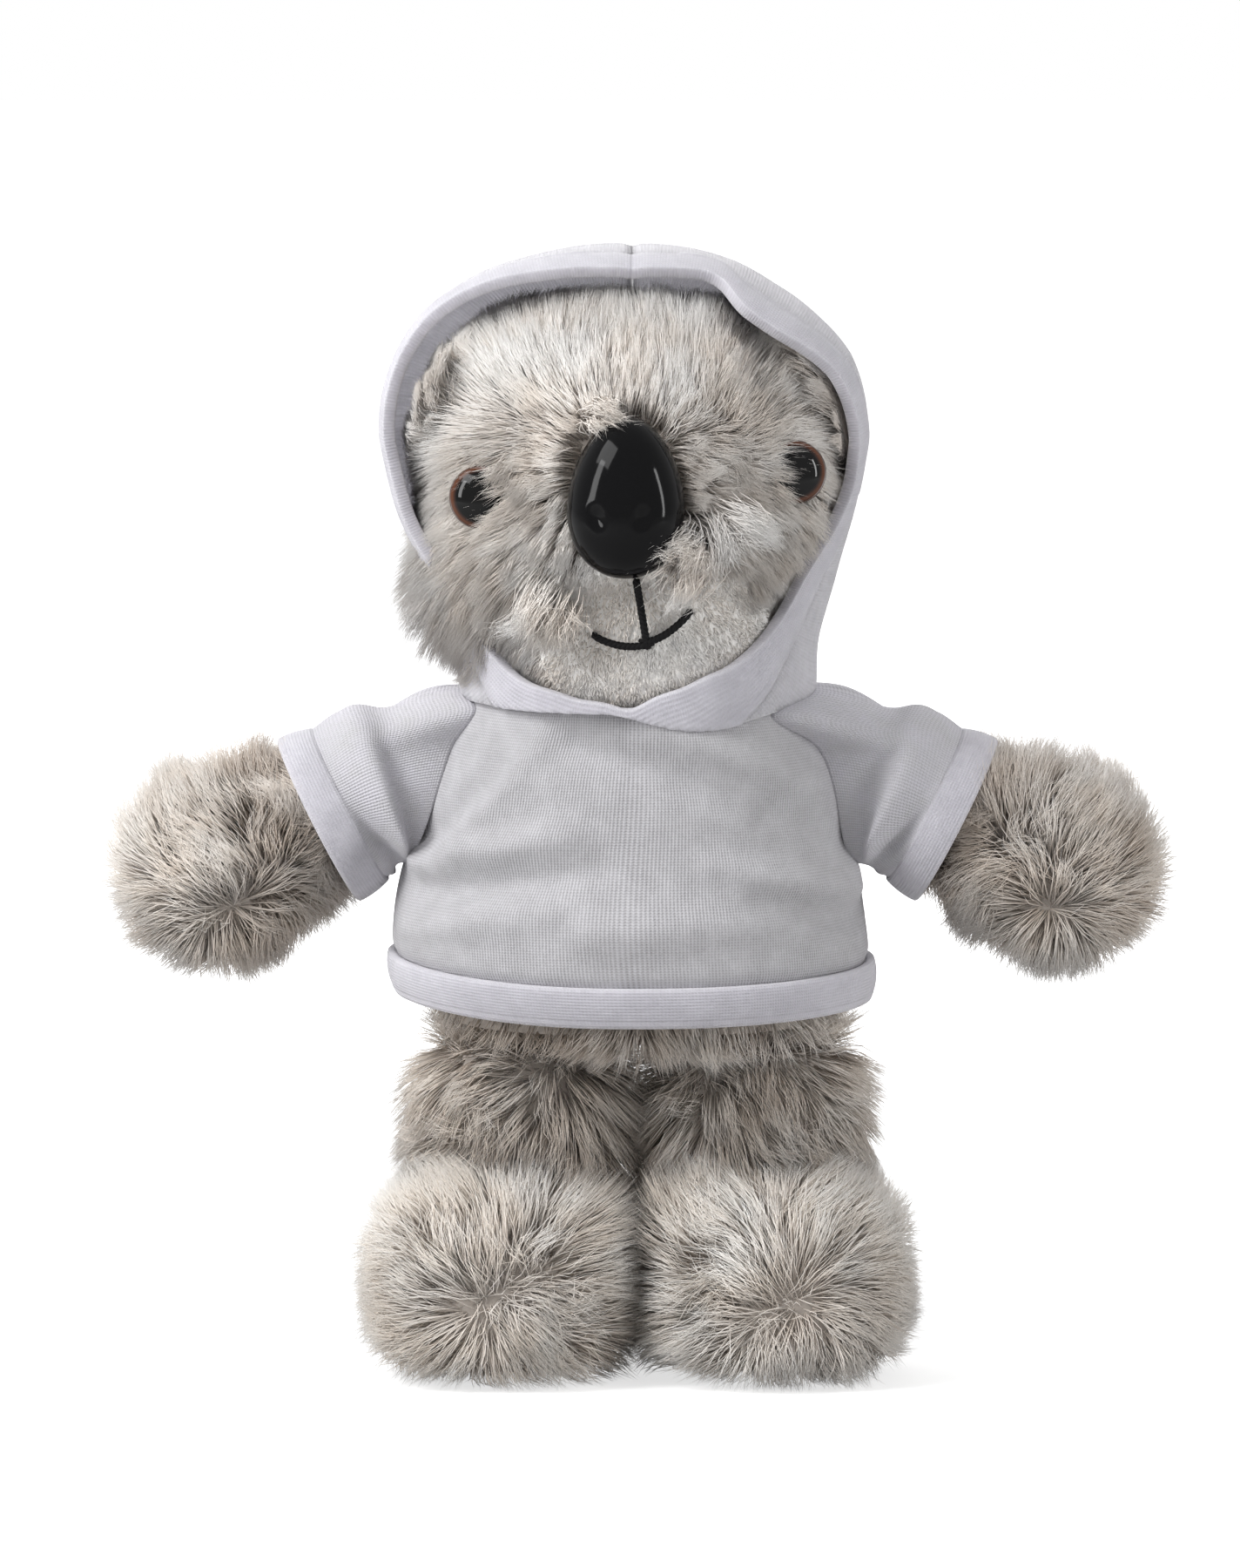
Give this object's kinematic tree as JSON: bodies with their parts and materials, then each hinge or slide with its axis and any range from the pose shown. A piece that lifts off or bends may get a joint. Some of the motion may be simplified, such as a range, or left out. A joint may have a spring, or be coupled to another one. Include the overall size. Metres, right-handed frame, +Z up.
{
  "type": "plush koala",
  "caption": "Standing plush koala in a white hooded shirt, with a turning head, swinging arms and legs, domed safety eyes and an oval nose.",
  "frame": {"origin": "on the floor, below the middle of the koala's outline", "axes": "+Z up, -Y the way the koala faces, +X to the koala's own left"},
  "size_m": [0.196, 0.0896, 0.213],
  "materials": {
    "head_fur": "long grey fur fabric, paler at the tips",
    "body_fur": "long brownish grey fur fabric",
    "leg_fur": "dark grey brown fur fabric",
    "foot_fur": "light grey long fur fabric",
    "white_pile": "short curly white pile",
    "white_jersey": "fine white knitted jersey, matte",
    "folded_jersey": "folded and stitched white jersey band",
    "stuffing": "loose white fibre filling",
    "nose_black": "moulded black plastic, polished",
    "eye_gloss": "clear domed plastic over black with a brown rim",
    "black_thread": "twisted black embroidery thread",
    "clip_plastic": "white lock washer plastic"
  },
  "bodies": {
    "torso": {"torso": "body_fur", "torso_stuffing": "stuffing", "shirt_front": "white_jersey", "shirt_back": "white_jersey", "hem_band": "folded_jersey", "left_sleeve": "white_jersey", "right_sleeve": "white_jersey"},
    "head": {"head": "head_fur", "chin_patch": "white_pile", "left_ear": "head_fur", "right_ear": "head_fur", "head_stuffing": "stuffing", "nose": "nose_black", "nose_washer": "clip_plastic", "left_eye": "eye_gloss", "left_eye_washer": "clip_plastic", "right_eye": "eye_gloss", "right_eye_washer": "clip_plastic", "mouth_upright": "black_thread", "mouth_left": "black_thread", "mouth_right": "black_thread", "hood_left_panel": "white_jersey", "hood_right_panel": "white_jersey", "hood_edge_band": "folded_jersey"},
    "left_arm": {"left_arm": "body_fur", "left_arm_stuffing": "stuffing", "left_cuff": "folded_jersey"},
    "right_arm": {"right_arm": "body_fur", "right_arm_stuffing": "stuffing", "right_cuff": "folded_jersey"},
    "left_leg": {"left_leg": "leg_fur", "left_leg_stuffing": "stuffing", "left_foot": "foot_fur", "left_foot_stuffing": "stuffing"},
    "right_leg": {"right_leg": "leg_fur", "right_leg_stuffing": "stuffing", "right_foot": "foot_fur", "right_foot_stuffing": "stuffing"}
  },
  "joints": [
    {"name": "head_turn", "type": "hinge", "parent": "torso", "child": "head", "pos_m": [0, 0, 0.129], "axis": [0, 0, 1], "range_deg": [-30, 30], "stiffness_Nm_per_rad": 0.25},
    {"name": "left_shoulder", "type": "hinge", "parent": "torso", "child": "left_arm", "pos_m": [0.0375, 0, 0.115], "axis": [0, -1, 0], "range_deg": [-7, 45], "stiffness_Nm_per_rad": 0.3, "deforming": ["left_sleeve"]},
    {"name": "right_shoulder", "type": "hinge", "parent": "torso", "child": "right_arm", "pos_m": [-0.0375, 0, 0.115], "axis": [0, 1, 0], "range_deg": [-7, 45], "stiffness_Nm_per_rad": 0.3, "deforming": ["right_sleeve"]},
    {"name": "left_hip", "type": "hinge", "parent": "torso", "child": "left_leg", "pos_m": [0.0221, 0, 0.052], "axis": [-1, 0, 0], "range_deg": [-20, 35], "stiffness_Nm_per_rad": 1.5},
    {"name": "right_hip", "type": "hinge", "parent": "torso", "child": "right_leg", "pos_m": [-0.0221, 0, 0.052], "axis": [-1, 0, 0], "range_deg": [-20, 35], "stiffness_Nm_per_rad": 1.5}
  ]
}
